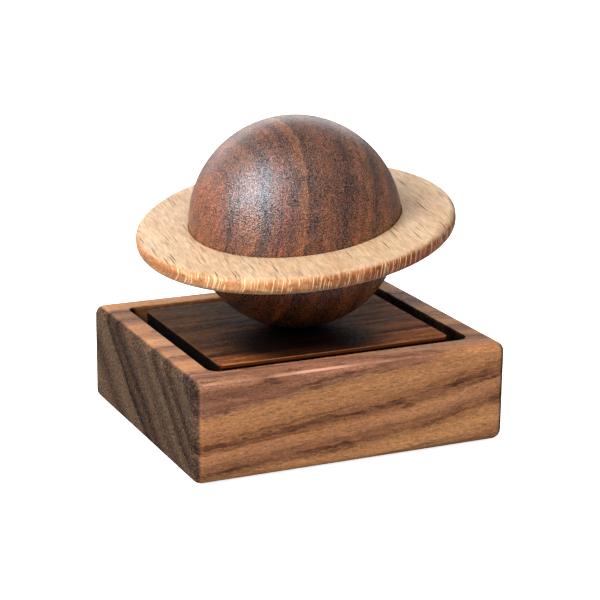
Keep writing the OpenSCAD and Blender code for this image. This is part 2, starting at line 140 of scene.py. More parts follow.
class Mat(Nodes):
    """A Principled material. Positions are object coordinates in millimetres."""

    def __init__(self, name):
        self.material = bpy.data.materials.new(name)
        self.material.use_nodes = True
        super().__init__(self.material.node_tree)
        self.tree.nodes.clear()
        output = self.node("OutputMaterial")
        self.principled = self.node("BsdfPrincipled")
        self.feed(output.inputs["Surface"], self.principled.outputs[0])
        coords = self.node("TexCoord")
        self.position = self.node("VectorMath", {0: coords.outputs["Object"], "Scale": 1000.0},
                                  operation="SCALE").outputs[0]
        self.normal = coords.outputs["Normal"]

    # numbers
    def math(self, operation, *values):
        return self.node("Math", dict(enumerate(values)), operation=operation).outputs[0]

    def add(self, a, b):
        return self.math("ADD", a, b)

    def mul(self, a, b):
        return self.math("MULTIPLY", a, b)

    def maximum(self, a, b):
        return self.math("MAXIMUM", a, b)

    def absolute(self, value):
        return self.math("ABSOLUTE", value)

    def centred(self, value):
        """A 0-1 value moved to lie about zero."""
        return self.add(value, -0.5)

    def swing(self, value, amount):
        """A 0-1 value centred on zero and scaled."""
        return self.mul(self.centred(value), amount)

    def step(self, value, start, end):
        """Smooth rise from 0 at start to 1 at end; start may be above end."""
        return self.node("MapRange", {"From Min": start, "From Max": end, "Value": value},
                         interpolation_type="SMOOTHSTEP").outputs[0]

    # vectors
    def dot(self, a, b):
        return self.node("VectorMath", {0: a, 1: tuple(b)},
                         operation="DOT_PRODUCT").outputs["Value"]

    def offset(self, a, b):
        return self.node("VectorMath", {0: a, 1: b}, operation="ADD").outputs[0]

    def times(self, a, b):
        return self.node("VectorMath", {0: a, 1: b}, operation="MULTIPLY").outputs[0]

    def xyz(self, x, y, z):
        return self.node("CombineXYZ", {0: x, 1: y, 2: z}).outputs[0]

    def parts(self, vector):
        return self.node("SeparateXYZ", {0: vector}).outputs

    # textures
    def noise(self, coords, scale=1.0, detail=2.0, rough=0.5, distortion=0.0, stretch=None):
        if stretch:
            coords = self.times(coords, stretch)
        return self.node("TexNoise", {"Scale": scale, "Detail": detail, "Roughness": rough,
                                      "Distortion": distortion, "Vector": coords}).outputs["Fac"]

    def voronoi(self, coords, scale=1.0, randomness=1.0, stretch=None):
        """Distance to the nearest cell point, and that cell's random colour."""
        if stretch:
            coords = self.times(coords, stretch)
        cells = self.node("TexVoronoi", {"Scale": scale, "Randomness": randomness,
                                         "Vector": coords})
        return cells.outputs["Distance"], cells.outputs["Color"]

    def spots(self, coords, edge, keep, channel=0, strength=None, **cells):
        """Spots with a soft edge, in the cells that a colour channel picks."""
        distance, colour = self.voronoi(coords, **cells)
        chosen = self.step(self.parts(colour)[channel], *keep)
        if strength:
            chosen = self.mul(chosen, strength)
        return self.mul(self.step(distance, *edge), chosen)

    # colours
    def mix(self, factor, a, b):
        return self.node("Mix", {0: factor, 6: a, 7: b}, data_type="RGBA").outputs[2]

    def brighten(self, colour, gain):
        return self.times(colour, self.xyz(gain, gain, gain))

    def shade(self, colour, amount, strength, base=1.0):
        """Colour times (base + amount * strength)."""
        return self.brighten(colour, self.add(base, self.mul(amount, strength)))

    def bands(self, factor, stops):
        """Colour ramp from (place 0-1, linear colour) stops."""
        made = self.node("ValToRGB", {0: factor})
        elements = made.color_ramp.elements
        elements.remove(elements[-1])
        elements[0].position = stops[0][0]
        elements[0].color = (*stops[0][1], 1)
        for place, colour in stops[1:]:
            elements.new(place).color = (*colour, 1)
        return made.outputs[0]

    def bump(self, height, depth):
        return self.node("Bump", {"Strength": 1.0, "Distance": depth * MM,
                                  "Height": height}).outputs[0]

    def finish(self, **inputs):
        """Sets Principled inputs (underscores for spaces) and gives back the material."""
        for name, value in inputs.items():
            self.feed(self.principled.inputs[name.replace("_", " ")], value)
        return self.material


# ------------------------------------------------------------------ woods
def wood_axes(mat, grain, layers, origin):
    """Unit vectors along the grain, through the layers and across; position along each."""
    along = Vector(grain).normalized()
    through = Vector(layers)
    through = (through - along * through.dot(along)).normalized()
    axes = (along, through, along.cross(through))
    local = mat.offset(mat.position, tuple(-Vector(origin)))
    return axes, [mat.dot(local, axis) for axis in axes]


def mark_layers(mat, colour, coords, depth, marks, width):
    """Thin dark late-wood lines: jagged, thinning out and breaking along the grain."""
    jag = mat.noise(coords, stretch=(0.45, 0.8, 0.8), detail=3.0, rough=0.75)
    depth = mat.add(depth, mat.swing(jag, 1.7))
    fade = mat.noise(coords, stretch=(0.06, 0.10, 0.10), rough=0.6)
    total = None
    for place, line_width, strength in marks:
        line = mat.step(mat.absolute(mat.add(depth, -place)),
                        line_width * width * 2.2, line_width * width * 0.6)
        moved = mat.offset(mat.times(coords, (0.05, 0.12, 0.12)), (place * 1.7, place, 0.0))
        unbroken = mat.step(mat.noise(moved, rough=0.7), 0.38, 0.56)
        line = mat.mul(mat.mul(line, unbroken), strength)
        total = line if total is None else mat.maximum(total, line)
    dark = mat.times(colour, (0.30, 0.25, 0.23))
    return mat.mix(mat.mul(total, mat.step(fade, 0.30, 0.55)), colour, dark)


def end_grain(mat, colour, coords, tint, contrast):
    """The colour seen where the grain is cut across: tinted, greyer and mottled."""
    mottle = mat.noise(coords, stretch=(0.3, 1.45, 1.45), rough=0.75)
    mottle = mat.step(mottle, 0.30, 0.70)
    colour = mat.times(colour, tint)
    grey = mat.node("RGBToBW", {0: colour}).outputs[0]
    colour = mat.mix(0.25, colour, mat.xyz(grey, grey, grey))
    return mat.shade(colour, mottle, contrast * 2.0, base=1.0 - contrast)


def walnut(name, grain, layers, origin, bands, marks, surface, *,
           seed,                          # shifts the noise, so pieces differ
           slope, warp,                   # tilt of the layers; bends from slow to jagged
           curve=0.0, bend=0.0,           # layer curve across, and along the positive grain
           fold=False,                    # mirror the layers near the first band
           mark_width=0.30, lines, pore,  # late-wood marks, growth lines and pores
           fibre, broad, grain_fleck, grit, wide=0.0,   # strengths of the streaks
           fleck_stretch=(0.60, 2.0, 2.0), grit_stretch=(1.5, 2.2, 2.2),
           end_range=(0.25, 0.85), end_tint, end_contrast=0.5, end_dull=0.0,
           tone, rough, spec, glint=0.0, spec_tint=(1, 1, 1), ior=1.5):
    """Walnut in flat growth layers. `surface` adds what only one piece has."""
    mat = Mat(name)
    axes, (along, through, across) = wood_axes(mat, grain, layers, origin)
    coords = mat.xyz(mat.add(along, seed * 37.0), through, across)

    # depth through the layers, bent
    ripple = mat.noise(coords, stretch=(0.035, 0.12, 0.12))
    bends = (mat.noise(coords, stretch=(0.012, 0.035, 0.035), detail=1.0),
             ripple,
             mat.noise(coords, stretch=(0.10, 0.55, 0.55), rough=0.6),
             mat.noise(coords, stretch=(0.22, 1.3, 1.3), detail=1.0, rough=0.7))
    depth = mat.add(through, mat.mul(along, slope))
    if curve:
        depth = mat.add(depth, mat.mul(mat.mul(across, across), curve))
    if bend:
        beyond = mat.maximum(along, 0.0)
        depth = mat.add(depth, mat.mul(mat.mul(beyond, beyond), bend))
    for texture, amount in zip(bends, warp):
        depth = mat.add(depth, mat.swing(texture, amount * 2))
    first, last = bands[0][0], bands[-1][0]
    if fold:
        crease = first + 1.0
        depth = mat.add(mat.absolute(mat.add(depth, -crease)), crease)

    # growth bands, then finer growth lines
    stops = [((place - first) / (last - first), srgb(*rgb)) for place, *rgb in bands]
    colour = mat.bands(mat.math("DIVIDE", mat.add(depth, -first), last - first), stops)
    growth = mat.node("TexNoise", {"Scale": 1.15, "Detail": 3.0, "Roughness": 0.65,
                                   "W": mat.add(depth, seed * 11.0)}, noise_dimensions="1D")
    growth = mat.step(growth.outputs["Fac"], 0.62, 0.36)
    breakup = mat.noise(coords, stretch=(0.02, 0.3, 0.3))
    growth = mat.mul(growth, mat.step(breakup, 0.3, 0.65))
    colour = mat.shade(colour, growth, -lines)
    colour = mark_layers(mat, colour, coords, depth, marks, mark_width)
    if wide:
        streak = mat.noise(coords, stretch=(0.025, 0.30, 0.30), rough=0.7)
        colour = mat.shade(colour, mat.centred(streak), wide)

    # fibres: long streaks, short flecks and even grit
    broad_fibre = mat.noise(coords, stretch=(0.03, 0.55, 0.55), rough=0.6)
    thin_fibre = mat.noise(coords, stretch=(0.16, 1.5, 1.5), rough=0.75)
    fleck = mat.noise(coords, stretch=fleck_stretch, detail=1.0, rough=0.8)
    grit_noise = mat.step(mat.noise(coords, stretch=grit_stretch, detail=0.0), 0.25, 0.75)
    fibres = mat.add(mat.swing(thin_fibre, 1.3), mat.swing(broad_fibre, broad))
    colour = mat.shade(colour, fibres, fibre * 2.2)
    flecks = mat.centred(fleck)
    colour = mat.shade(colour, flecks, grain_fleck * 4.0)
    grits = mat.centred(grit_noise)
    colour = mat.shade(colour, grits, grit * 4.0)

    # a slow drift in warmth
    drift = mat.step(mat.noise(coords, stretch=(0.02, 0.06, 0.06)), 0.35, 0.75)
    colour = mat.mix(mat.mul(drift, 0.35), colour, mat.times(colour, (0.94, 0.80, 0.70)))

    # pores: short dark dashes along the grain, dots on end grain
    pores = mat.maximum(
        mat.spots(coords, stretch=(0.22, 1.9, 1.9), edge=(0.30, 0.16), keep=(0.35, 0.6)),
        mat.spots(coords, stretch=(0.40, 3.0, 3.0), edge=(0.34, 0.18), keep=(0.25, 0.55),
                  channel=1, strength=0.75))
    facing = mat.absolute(mat.dot(mat.normal, axes[0]))
    end = mat.step(facing, *end_range)
    colour = mat.shade(colour, pores, mat.add(-pore, mat.mul(end, -0.12)))
    colour = mat.mix(end, colour, end_grain(mat, colour, coords, end_tint, end_contrast))

    wood = SimpleNamespace(coords=coords, along=along, through=through, ripple=ripple,
                           facing=facing, end=end)
    colour = mat.times(surface(mat, wood, colour), tone)

    uneven = mat.add(mat.mul(fibres, 0.10), mat.add(mat.mul(pores, 0.16), mat.mul(grits, 0.3)))
    height = mat.add(mat.add(mat.mul(fibres, 0.4), mat.mul(mat.add(flecks, grits), 0.8)),
                     mat.mul(pores, -0.9))
    level = mat.add(spec, mat.mul(end, -spec * end_dull))
    if glint:
        level = mat.mul(level, mat.add(1.0 - glint, mat.mul(grit_noise, glint * 2.0)))
    return mat.finish(Base_Color=colour, Roughness=mat.add(rough, uneven),
                      Normal=mat.bump(height, depth=0.06), Coat_Weight=0.0, Coat_Roughness=0.3,
                      Specular_IOR_Level=level, Specular_Tint=spec_tint, IOR=ior)


# Band tables: depth through the layers, then sRGB colour.
# Mark tables: depth, relative width, strength.
BLOCK_BANDS = (
    (-6, 120, 80, 52), (2, 196, 142, 92), (7, 188, 134, 86), (9, 96, 64, 44),
    (12, 150, 104, 68), (15, 104, 70, 48), (20, 184, 130, 86), (25, 150, 104, 70),
    (28.5, 192, 140, 92), (31.2, 176, 126, 82), (32.7, 134, 92, 66), (33.6, 150, 102, 66),
    (34.3, 136, 94, 68), (35.6, 164, 116, 80), (37.6, 180, 129, 88), (38.9, 140, 96, 62),
    (39.7, 134, 92, 66), (41.3, 156, 108, 70), (44.4, 180, 129, 88), (46.6, 178, 128, 84),
    (48.2, 150, 106, 82), (48.9, 126, 86, 64), (50.0, 150, 106, 82), (51.8, 128, 88, 66),
    (53.2, 146, 104, 79), (55.5, 120, 83, 62), (58, 138, 98, 74), (62, 128, 88, 64),
)
BLOCK_MARKS = (
    (31.9, 0.8, 0.7), (32.9, 1.2, 1.0), (33.8, 0.7, 0.6), (38.6, 0.8, 0.8), (39.8, 1.0, 1.0),
    (40.5, 0.8, 0.9), (41.6, 0.7, 0.5), (45.2, 0.6, 0.5), (48.0, 0.8, 0.7), (49.0, 0.9, 0.8),
    (50.6, 0.8, 0.8), (52.1, 1.0, 0.8), (53.9, 0.8, 0.8), (55.6, 0.9, 0.8), (57.4, 0.8, 0.6),
    (27.0, 0.8, 0.6), (9.0, 1.2, 0.9), (14.8, 1.0, 0.9), (22.5, 0.8, 0.7),
)
PLATE_BANDS = (
    (-34, 168, 120, 90), (-29, 176, 126, 92), (-24, 158, 110, 80), (-21, 112, 78, 57),
    (-19, 72, 49, 36), (-16, 108, 76, 56), (-10, 92, 67, 50), (-4, 76, 56, 43),
    (2, 98, 73, 55), (8, 72, 54, 42), (14, 106, 82, 63), (20, 78, 60, 47),
    (26, 102, 80, 62), (34, 84, 64, 48),
)
PLATE_MARKS = (
    (-28.0, 1.8, 0.5), (-23.5, 2.2, 0.7), (-19.6, 3.0, 1.0), (-15.0, 2.2, 0.7),
    (-11.0, 2.4, 0.8), (-6.0, 2.2, 0.7), (-1.5, 2.6, 0.9), (3.0, 2.2, 0.7), (8.0, 2.6, 0.9),
    (13.0, 2.2, 0.8), (18.0, 2.6, 0.9), (24.0, 2.2, 0.8), (29.0, 2.2, 0.8),
)
BALL_BANDS = (
    (-36, 92, 58, 42), (-29, 112, 70, 50), (-25, 120, 76, 54), (-21, 92, 58, 44),
    (-17, 112, 74, 54), (-14, 74, 50, 42), (-11.5, 96, 62, 46), (-9, 112, 62, 42),
    (-7, 78, 47, 36), (-5.2, 100, 60, 42), (-3.4, 134, 88, 60), (-2.4, 96, 58, 41),
    (-0.4, 76, 46, 34), (3, 102, 62, 42), (7, 92, 55, 38), (10, 76, 44, 32),
    (13, 104, 64, 42), (17, 122, 78, 50), (20, 82, 50, 36), (24, 124, 80, 50),
    (28, 84, 52, 36), (36, 100, 62, 44),
)
BALL_MARKS = (
    (-22.0, 1.2, 0.5), (-18.6, 1.0, 0.5), (-14.2, 1.3, 0.7), (-12.4, 0.9, 0.5),
    (-9.6, 1.1, 0.8), (-6.6, 1.0, 0.7), (-1.8, 1.2, 0.7), (2.0, 0.9, 0.5), (6.0, 1.0, 0.5),
    (9.6, 1.2, 0.7), (12.0, 0.9, 0.5), (15.4, 1.0, 0.6), (19.6, 1.3, 0.7), (23.0, 1.0, 0.6),
    (27.0, 1.2, 0.6),
)


def block_surface(mat, wood, colour):
    # open pores on the end grain: pale and dark dots
    distance, cell = mat.voronoi(wood.coords, stretch=(0.5, 1.35, 1.35))
    pick = mat.parts(cell)[0]
    dot = mat.mul(mat.step(distance, 0.40, 0.18), mat.step(wood.facing, 0.86, 0.98))
    for keep, strength, rgb in (((0.62, 0.70), 0.42, (176, 156, 140)),
                                ((0.38, 0.30), 0.924, (34, 24, 20))):
        amount = mat.mul(mat.mul(dot, mat.step(pick, *keep)), mat.mul(wood.end, strength))
        colour = mat.mix(amount, colour, srgb(*rgb))

    # painted shade in the pocket, darker towards the bottom
    *plan, z = mat.parts(mat.position)
    inside = [mat.step(mat.absolute(value), side / 2 + 0.25, side / 2 - 0.25)
              for value, side in zip(plan, POCKET_SIZE)]
    painted_pocket_shade = mat.mul(mat.mul(*inside), mat.step(z, BLOCK_TOP + 0.1, BLOCK_TOP - 1.4))
    colour = mat.shade(colour, painted_pocket_shade, -0.97)

    # painted highlight along the long upper edges, in patches
    normal = mat.parts(mat.normal)
    painted_edge_highlight = mat.step(mat.mul(mat.absolute(normal[1]), normal[2]), 0.462, 0.498)
    patchy = mat.mul(mat.step(wood.ripple, 0.30, 0.60), mat.step(wood.along, 30.0, -10.0))
    return mat.mix(mat.mul(mat.mul(painted_edge_highlight, patchy), 0.62), colour, srgb(226, 178, 152))


def plate_surface(mat, wood, colour):
    # paler wood towards +X
    paler = mat.mul(mat.step(wood.along, -10.0, 18.0), mat.step(wood.through, -25.0, -15.0))
    colour = mat.shade(colour, paler, 1.9)

    # painted shadow: dark oval where the ball sits close above, centred at x -5, y -19
    x, y, _ = mat.parts(mat.position)
    x, y = mat.mul(mat.add(x, 5.0), 0.80), mat.add(y, 19.0)
    ball_shadow_reach = mat.math("SQRT", mat.add(mat.mul(x, x), mat.mul(y, y)))
    colour = mat.shade(colour, mat.step(ball_shadow_reach, 26.0, 12.0), -0.92)

    # softened edge with a painted highlight along it, weaker on the left
    upward = mat.absolute(mat.parts(mat.normal)[2])
    edge = mat.mul(mat.step(upward, 0.97, 0.80), mat.step(upward, 0.15, 0.40))
    not_left = mat.step(mat.parts(mat.normal)[0], -0.30, -0.05)
    edge = mat.mul(edge, mat.add(0.3, mat.mul(not_left, 0.7)))
    colour = mat.mix(mat.mul(edge, 0.6), colour, srgb(206, 160, 128))

    # side walls, shaded towards the underside; the shade starts lower on front and back
    z = mat.parts(mat.position)[2]
    _, normal_y, normal_z = mat.parts(mat.normal)
    facing_y, facing_z = mat.absolute(normal_y), mat.absolute(normal_z)
    wall = mat.step(facing_z, 0.6, 0.2)
    ends = mat.mul(wall, mat.mul(mat.step(z, PLATE_TOP, PLATE_TOP - 0.9),
                                 mat.step(facing_y, 0.85, 0.45)))
    fronts = mat.mul(wall, mat.mul(mat.step(z, PLATE_TOP - 0.75, PLATE_TOP - 1.15),
                                   mat.step(facing_y, 0.45, 0.85)))
    colour = mat.mix(mat.mul(wall, mat.step(facing_y, 0.45, 0.85)), colour, srgb(104, 62, 40))
    return mat.shade(colour, mat.maximum(ends, fronts), -0.95)


def ball_surface(mat, wood, colour):
    # pale fleck of cut pores catching the light
    flecks = mat.spots(wood.coords, stretch=(0.9, 2.2, 2.2), edge=(0.36, 0.12),
                       keep=(0.45, 0.7), channel=2)
    return mat.mix(mat.mul(flecks, 0.7), colour, srgb(190, 140, 100))


def block_walnut():
    return walnut(
        "walnut_block", (1, 0, 0), (0, -0.62, 0.79), (0, 0, 0),
        BLOCK_BANDS, BLOCK_MARKS, block_surface, seed=1.0,
        slope=-0.075, warp=(1.6, 1.0, 0.5, 0.8), bend=-0.0009, fold=True,
        mark_width=0.25, lines=0.20, pore=0.34, fibre=0.14, broad=1.3, grain_fleck=0.22,
        grit=0.07, end_range=(0.24, 0.62), end_tint=(0.222, 0.258, 0.292),
        end_contrast=0.72, end_dull=0.85, tone=(0.86, 0.80, 0.78), rough=0.60, spec=0.18)


def plate_walnut():
    return walnut(
        "walnut_plate", (1, 0, 0), (0, 1, 0.1), (0, 0, PLATE_TOP),
        PLATE_BANDS, PLATE_MARKS, plate_surface, seed=2.0,
        slope=-0.05, warp=(2.4, 1.2, 0.4, 0.4),
        lines=0.50, pore=0.50, fibre=0.30, broad=3.4, grain_fleck=0.42,
        grit=0.12, wide=2.6, end_tint=(0.35, 0.33, 0.31),
        tone=(0.60, 0.41, 0.23), rough=0.72, spec=0.06)


def ball_walnut():
    return walnut(
        "walnut_ball", (0.05, -0.50, 0.86), (0.99, -0.12, 0.04),
        BALL_CENTRE - Vector((5, 0, 0)), BALL_BANDS, BALL_MARKS, ball_surface, seed=3.0,
        slope=0.0, warp=(1.0, 0.8, 0.5, 0.5), curve=0.003,
        lines=0.50, pore=0.60, fibre=0.26, broad=1.5, grain_fleck=0.46,
        grit=0.22, wide=1.7, fleck_stretch=(0.22, 2.3, 2.3), grit_stretch=(3.4, 3.4, 3.4),
        end_range=(0.45, 1.0), end_tint=(0.78, 0.76, 0.76), end_contrast=0.4,
        tone=(1.15, 0.83, 0.42), rough=0.335, spec=1.0, glint=0.70,
        spec_tint=(0.68, 0.87, 1.0), ior=1.55)


def beech(name, grain, rays, origin, *, face, rim, rim_low, blotch, dash, rough, rim_amount):
    """Pale wood with ray flecks: dark dashes on the flat face, pale strokes on the rim.

    face: three sRGB colours, the base, its clouds and its bands. rim and rim_low: base and
    band colours of the rim, rim_low where `across` is low. blotch, dash: dark patch colours.
    """
    mat = Mat(name)
    axes, (along, through, across) = wood_axes(mat, grain, rays, origin)
    coords = mat.xyz(along, through, across)
    # 0 on the flat, rising to rim_amount on the rim
    on_rim = mat.mul(mat.step(mat.absolute(mat.dot(mat.normal, axes[1])), 0.92, 0.42),
                     rim_amount)

    # slow cloud and soft growth bands
    cloud = mat.noise(coords, stretch=(0.015, 0.05, 0.06), detail=3.0, rough=0.55)
    band = mat.noise(coords, stretch=(0.010, 0.25, 0.20), detail=3.0, rough=0.6)
    colour = mat.mix(mat.step(cloud, 0.35, 0.7), srgb(*face[0]), srgb(*face[1]))
    colour = mat.mix(mat.mul(mat.step(band, 0.42, 0.72), 0.7), colour, srgb(*face[2]))
    rim_colour = mat.mix(mat.step(band, 0.3, 0.7), *(srgb(*rgb) for rgb in rim))
    low_colour = mat.mix(mat.step(band, 0.35, 0.65), *(srgb(*rgb) for rgb in rim_low))
    rim_colour = mat.mix(mat.mul(mat.step(across, 26.0, -12.0), 0.92), rim_colour, low_colour)
    patch = mat.noise(coords, stretch=(0.2, 0.35, 0.09), detail=3.0, rough=0.6)
    rim_colour = mat.mix(mat.mul(mat.step(patch, 0.56, 0.70), 0.75), rim_colour, srgb(*blotch))
    colour = mat.mix(on_rim, colour, rim_colour)

    # fibres
    fibre = mat.noise(coords, stretch=(0.09, 1.2, 1.5), detail=3.0, rough=0.7)
    fine = mat.noise(coords, stretch=(0.22, 1.6, 2.1), detail=1.0, rough=0.65)
    streaks = mat.add(mat.swing(fibre, 0.62), mat.swing(fine, 1.05))
    colour = mat.brighten(colour, mat.add(0.97, streaks))

    # dark dashes on the flat, in two sizes
    large = mat.spots(coords, stretch=(0.048, 0.02, 1.15), randomness=0.85,
                      edge=(0.24, 0.12), keep=(0.10, 0.35))
    small = mat.spots(mat.offset(coords, (31.0, 7.0, 3.0)), stretch=(0.070, 0.03, 1.7),
                      edge=(0.30, 0.16), keep=(0.25, 0.6), channel=1)
    dashes = mat.maximum(mat.mul(large, 1.0), mat.mul(small, 0.7))
    on_flat = mat.math("SUBTRACT", 1.0, on_rim)
    colour = mat.mix(mat.mul(dashes, mat.mul(on_flat, 0.9)), colour, srgb(*dash))

    # pale strokes on the rim, one sheet after another
    waver = mat.noise(coords, stretch=(0.15, 0.3, 0.15))
    wavy = mat.add(across, mat.swing(waver, 0.9))

    def sheets(per_mm, edge, keep, shift):
        cells = mat.node("TexVoronoi", {"Scale": per_mm, "W": mat.add(wavy, shift)},
                         voronoi_dimensions="1D")
        gaps = mat.noise(mat.xyz(along, through, mat.mul(across, 6.0)),
                         stretch=(0.12, 0.30, 0.25), detail=1.0)
        chosen = mat.step(mat.parts(cells.outputs["Color"])[0], *keep)
        stroke = mat.mul(mat.step(cells.outputs["Distance"], *edge), chosen)
        return mat.mul(stroke, mat.step(gaps, 0.36, 0.5))

    coarse = sheets(per_mm=0.85, edge=(0.14, 0.03), keep=(0.15, 0.40), shift=3.3)
    dense = sheets(per_mm=1.80, edge=(0.22, 0.05), keep=(0.30, 0.55), shift=8.1)
    strokes = mat.maximum(mat.mul(coarse, 0.9), mat.mul(dense, 0.6))
    side_on = mat.step(mat.absolute(mat.dot(mat.normal, axes[2])), 0.97, 0.80)
    strokes = mat.mul(strokes, side_on)
    colour = mat.mix(mat.mul(strokes, mat.mul(on_rim, 0.75)), colour, srgb(246, 206, 156))

    # small dark specks on the rim
    specks = mat.spots(coords, stretch=(1.0, 0.9, 1.3), edge=(0.36, 0.15), keep=(0.35, 0.6))
    specks = mat.mul(specks, mat.step(patch, 0.52, 0.64))
    colour = mat.mix(mat.mul(specks, mat.mul(on_rim, 0.75)), colour, srgb(98, 52, 26))

    height = mat.add(mat.mul(fibre, 0.4), mat.add(mat.mul(dashes, -0.8), mat.mul(fine, 0.6)))
    uneven = mat.add(mat.swing(fibre, 0.15), mat.mul(dashes, 0.2))
    return mat.finish(Base_Color=colour, Roughness=mat.add(rough, uneven),
                      Normal=mat.bump(height, depth=0.05), Specular_IOR_Level=0.3)


def ring_beech():
    ring_axis = (RING_MATRIX.to_3x3() @ Vector((0, 0, 1))).normalized()
    return beech("beech_ring", (-0.09, -1.0, 0.0), ring_axis + Vector((0.28, 0, 0)), BALL_CENTRE,
                 face=((180, 152, 122), (171, 142, 111), (159, 124, 92)),
                 rim=((186, 134, 89), (149, 91, 50)), rim_low=((121, 58, 23), (102, 48, 20)),
                 blotch=(92, 46, 24), dash=(92, 54, 34), rough=0.45, rim_amount=1.0)


def dowel_beech():
    return beech("beech_dowel", (0, 0, 1), (1, 0.2, 0), (0, 0, 0),
                 face=((222, 184, 140), (208, 168, 122), (194, 150, 104)),
                 rim=((206, 160, 112), (188, 138, 90)), rim_low=((200, 150, 104), (180, 130, 84)),
                 blotch=(150, 100, 62), dash=(140, 92, 56), rough=0.6, rim_amount=0.4)


# ------------------------------------------------------------------ metals, nylon, felt
def metal(name, colour, rough, axis=(0, 0, 1), brush=0.25, cast=0.0, tint=None, stain=0.15):
    """Turned or ground metal: fine rings about an axis, faint stain, small dents."""
    mat = Mat(name)
    x, y, z = axis
    rings = mat.noise(mat.xyz(mat.mul(mat.dot(mat.position, (x, y, z)), 9.0),
                              mat.mul(mat.dot(mat.position, (y, z, x)), 0.35),
                              mat.mul(mat.dot(mat.position, (z, x, y)), 0.35)),
                      detail=4.0, rough=0.75)
    cloud = mat.noise(mat.position, scale=0.35, detail=4.0, rough=0.6)
    grit = mat.noise(mat.position, scale=5.0, detail=3.0, rough=0.7)
    stained = mat.mix(mat.mul(mat.step(cloud, 0.35, 0.75), stain * 2), colour,
                      tint or tuple(value * 0.72 for value in colour))
    uneven = mat.add(mat.swing(rings, 0.2), mat.mul(mat.step(cloud, 0.4, 0.8), 0.08))
    height = mat.add(mat.mul(rings, brush), mat.mul(grit, cast))
    return mat.finish(Base_Color=mat.shade(stained, rings, 0.14, base=0.93), Metallic=1.0,
                      Roughness=mat.add(rough, uneven), Normal=mat.bump(height, depth=0.02))


def nylon(name):
    mat = Mat(name)
    colour = srgb(232, 224, 204)
    cloud = mat.noise(mat.position, scale=0.5, detail=3.0)
    grit = mat.noise(mat.position, scale=7.0, detail=3.0, rough=0.6)
    clouded = mat.mix(mat.step(cloud, 0.3, 0.8), colour, tuple(value * 0.9 for value in colour))
    return mat.finish(Base_Color=clouded, Roughness=mat.add(0.38, mat.mul(grit, 0.12)),
                      Subsurface_Weight=0.1, Subsurface_Scale=0.001,
                      Normal=mat.bump(grit, depth=0.01))


def felt(name):
    mat = Mat(name)
    tufts = mat.noise(mat.position, scale=1.6, detail=6.0, rough=0.75, distortion=1.2)
    hairs = mat.noise(mat.position, scale=5.5, detail=4.0, rough=0.7, distortion=2.5)
    lint = mat.spots(mat.position, scale=2.2, edge=(0.16, 0.05), keep=(0.6, 0.8))
    colour = mat.mix(mat.step(tufts, 0.3, 0.7), srgb(38, 37, 36), srgb(66, 64, 61))
    colour = mat.mix(mat.mul(lint, 0.5), colour, srgb(120, 116, 110))
    height = mat.add(mat.mul(tufts, 0.6), mat.mul(hairs, 0.5))
    return mat.finish(Base_Color=colour, Roughness=0.95, Sheen_Weight=0.6, Sheen_Roughness=0.5,
                      Specular_IOR_Level=0.2, Normal=mat.bump(height, depth=0.25))


# linear colours
BRASS = dict(colour=(0.80, 0.58, 0.27), tint=(0.55, 0.36, 0.15))
STEEL = dict(colour=(0.62, 0.63, 0.65), rough=0.24, stain=0.08)
METALS = {
    "brass": dict(BRASS, rough=0.26),
    "brass_x": dict(BRASS, rough=0.28, axis=(1, 0, 0)),
    "steel": STEEL,
    "steel_x": dict(STEEL, axis=(1, 0, 0)),
    "spring_steel": dict(colour=(0.16, 0.20, 0.30), rough=0.30, tint=(0.22, 0.17, 0.20),
                         stain=0.25),
    "cast_zinc": dict(colour=(0.56, 0.57, 0.58), rough=0.46, brush=0.05, cast=0.9, stain=0.2),
    "screw_steel": dict(colour=(0.70, 0.70, 0.71), rough=0.20, stain=0.06),
}
# CAD piece: its material
FINISHES = {
    "plate_posts": "beech_dowel", "post_screws": "screw_steel", "shaft_bush": "brass",
    "bedplate": "cast_zinc", "movement_screws": "screw_steel", "spring_housing": "cast_zinc",
    "housing_screws": "screw_steel", "mainspring": "spring_steel", "comb": "steel",
    "comb_screws": "screw_steel", "drum_bracket": "brass", "bracket_screw": "screw_steel",
    "governor_frame": "cast_zinc", "governor_screws": "screw_steel", "ball_insert": "brass",
    "winding_shaft": "steel", "spring_hub": "brass", "great_wheel": "brass",
    "ratchet_wheel": "steel", "click_stud": "screw_steel", "click_spring": "spring_steel",
    "retaining_clip": "spring_steel", "click": "steel", "pin_drum": "brass_x",
    "drum_ends": "brass_x", "drum_arbor": "steel_x", "drum_pinion": "brass_x",
    "drum_gear": "brass_x", "idler_arbor": "steel_x", "idler_pinion": "steel_x",
    "idler_wheel": "nylon", "governor_arbor": "steel", "governor_worm": "nylon",
    "governor_fan": "nylon",
}


def make_materials():
    made = {
        "walnut_block": block_walnut(),
        "walnut_plate": plate_walnut(),
        "walnut_ball": ball_walnut(),
        "beech_ring": ring_beech(),
        "beech_dowel": dowel_beech(),
        "felt": felt("felt"),
    }
    for name, values in METALS.items():
        made[name] = metal(name, **values)
    made["nylon"] = nylon("nylon")
    return made


def finish_cad_pieces(materials):
    for name, finish in FINISHES.items():
        piece = nodes[name]
        if not piece.material_slots:
            piece.data.materials.append(materials[finish])
        for slot in piece.material_slots:
            slot.material = materials[finish]


# ------------------------------------------------------------------ mesh helpers
def quarter_turn(steps):
    """(sine, cosine) pairs from 0 to 90 degrees."""
    angles = [math.radians(90 * i / steps) for i in range(steps + 1)]
    return [(math.sin(angle), math.cos(angle)) for angle in angles]


